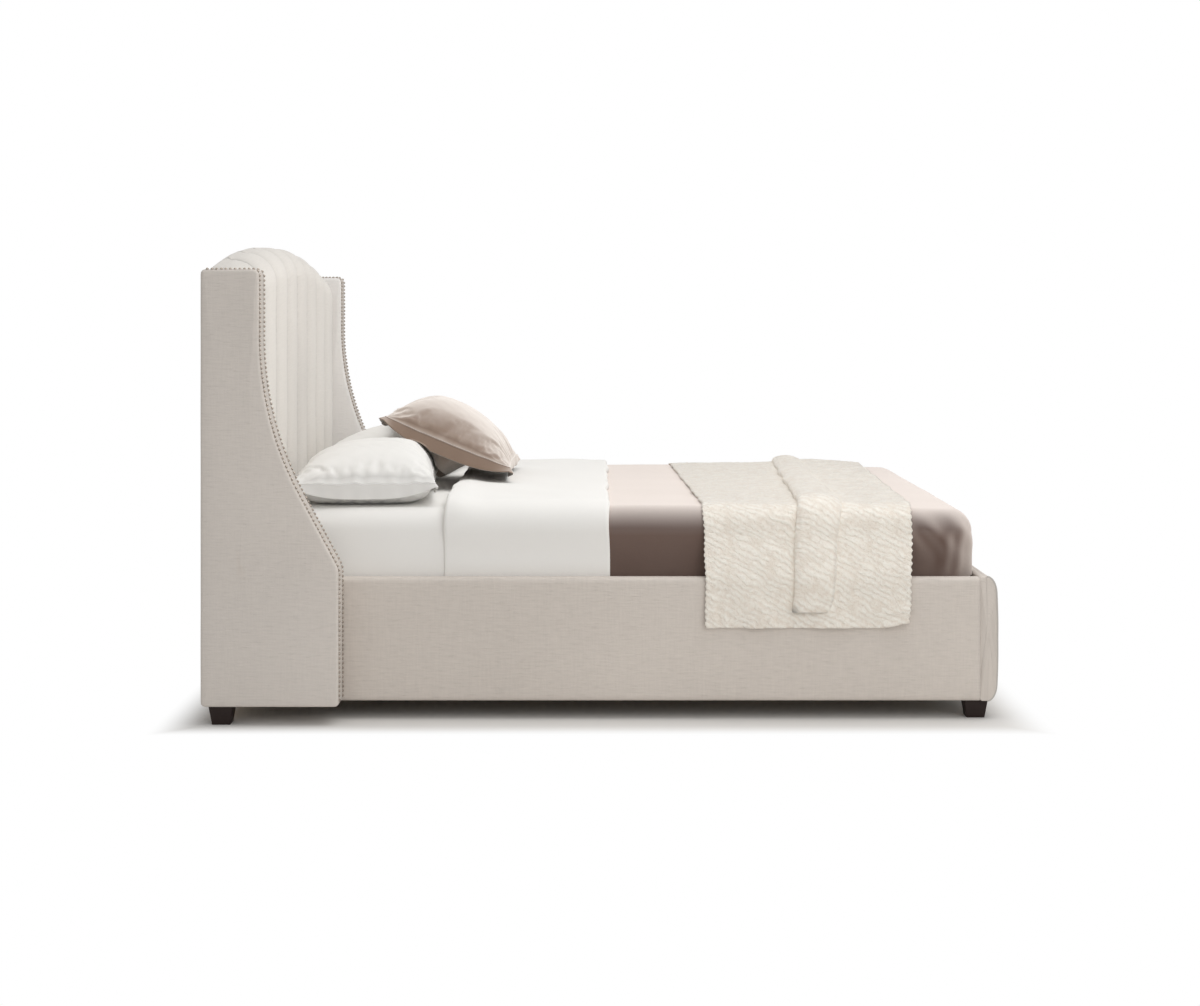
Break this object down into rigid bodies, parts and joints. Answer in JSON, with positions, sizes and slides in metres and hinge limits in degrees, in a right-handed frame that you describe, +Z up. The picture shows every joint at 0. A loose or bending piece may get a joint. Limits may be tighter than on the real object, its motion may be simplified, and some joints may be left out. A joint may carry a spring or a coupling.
{
  "type": "wingback bed",
  "caption": "Upholstered wingback bed with a channelled arched headboard, slatted base, mattress and loose bedding that lifts off.",
  "frame": {"origin": "on the floor, under the middle of the bed's outline", "axes": "+X along the bed from the headboard to the foot, +Y to the right of someone who stands at the foot and looks at the headboard, +Z up"},
  "size_m": [2.1849, 1.89, 1.3171],
  "materials": {
    "upholstery_linen": "woven linen, matt, with fine slubs",
    "channel_linen": "woven linen over foam channels, matt",
    "welt_cord": "corded seam, grey",
    "pewter_nail": "domed, softly polished",
    "dark_timber": "dark stained, satin",
    "frame_timber": "planed pine, unfinished",
    "plywood": "sanded birch plywood",
    "zinc_steel": "zinc plated",
    "glide_plastic": "moulded, matt",
    "mattress_ticking": "quilted ticking",
    "white_cotton": "percale cotton, matt",
    "taupe_cotton": "brushed cotton, matt",
    "taupe_satin": "satin weave with a soft sheen",
    "cream_knit": "soft knitted wool in slanting rows"
  },
  "bodies": {
    "frame": {"beam_saddles": "zinc_steel", "block_bolts": "zinc_steel", "bracket_bolts": "zinc_steel", "centre_beam": "frame_timber", "centre_leg_1": "frame_timber", "centre_leg_2": "frame_timber", "channel_pad": "channel_linen", "corner_block_left": "frame_timber", "corner_block_right": "frame_timber", "corner_brackets": "zinc_steel", "foot_leg_left": "dark_timber", "foot_leg_right": "dark_timber", "footboard_core": "frame_timber", "footboard_cover": "upholstery_linen", "footboard_welt": "welt_cord", "head_leg_left": "dark_timber", "head_leg_right": "dark_timber", "headboard_back_panel": "upholstery_linen", "headboard_bottom_rail": "frame_timber", "headboard_centre_post": "frame_timber", "headboard_front_board": "plywood", "headboard_post_left": "frame_timber", "headboard_post_right": "frame_timber", "headboard_top_rail": "frame_timber", "ledge_screws": "zinc_steel", "leg_bolts": "zinc_steel", "leg_glides": "glide_plastic", "nail_trim_left": "pewter_nail", "nail_trim_right": "pewter_nail", "side_rail_cover_left": "upholstery_linen", "side_rail_cover_right": "upholstery_linen", "side_rail_left": "frame_timber", "side_rail_right": "frame_timber", "slat_01": "frame_timber", "slat_02": "frame_timber", "slat_03": "frame_timber", "slat_04": "frame_timber", "slat_05": "frame_timber", "slat_06": "frame_timber", "slat_07": "frame_timber", "slat_08": "frame_timber", "slat_09": "frame_timber", "slat_10": "frame_timber", "slat_11": "frame_timber", "slat_12": "frame_timber", "slat_ledge_left": "frame_timber", "slat_ledge_right": "frame_timber", "wing_bolts": "zinc_steel", "wing_core_left": "frame_timber", "wing_core_right": "frame_timber", "wing_cover_left": "upholstery_linen", "wing_cover_right": "upholstery_linen"},
    "mattress": {"mattress": "mattress_ticking", "fitted_sheet": "white_cotton", "blanket": "taupe_cotton", "turned_sheet": "white_cotton"},
    "pillows": {"pillow_left": "white_cotton", "pillow_right": "white_cotton"},
    "cushion": {"cushion": "taupe_satin"},
    "throw": {"throw": "cream_knit"}
  },
  "joints": [
    {"name": "mattress_lift", "type": "slide", "parent": "frame", "child": "mattress", "axis": [0, 0, 1], "range_m": [0, 0.5]},
    {"name": "pillows_lift", "type": "slide", "parent": "mattress", "child": "pillows", "axis": [0, 0, 1], "range_m": [0, 0.4]},
    {"name": "cushion_lift", "type": "slide", "parent": "pillows", "child": "cushion", "axis": [0, 0, 1], "range_m": [0, 0.35]},
    {"name": "throw_lift", "type": "slide", "parent": "mattress", "child": "throw", "axis": [0, 0, 1], "range_m": [0, 0.45]}
  ]
}
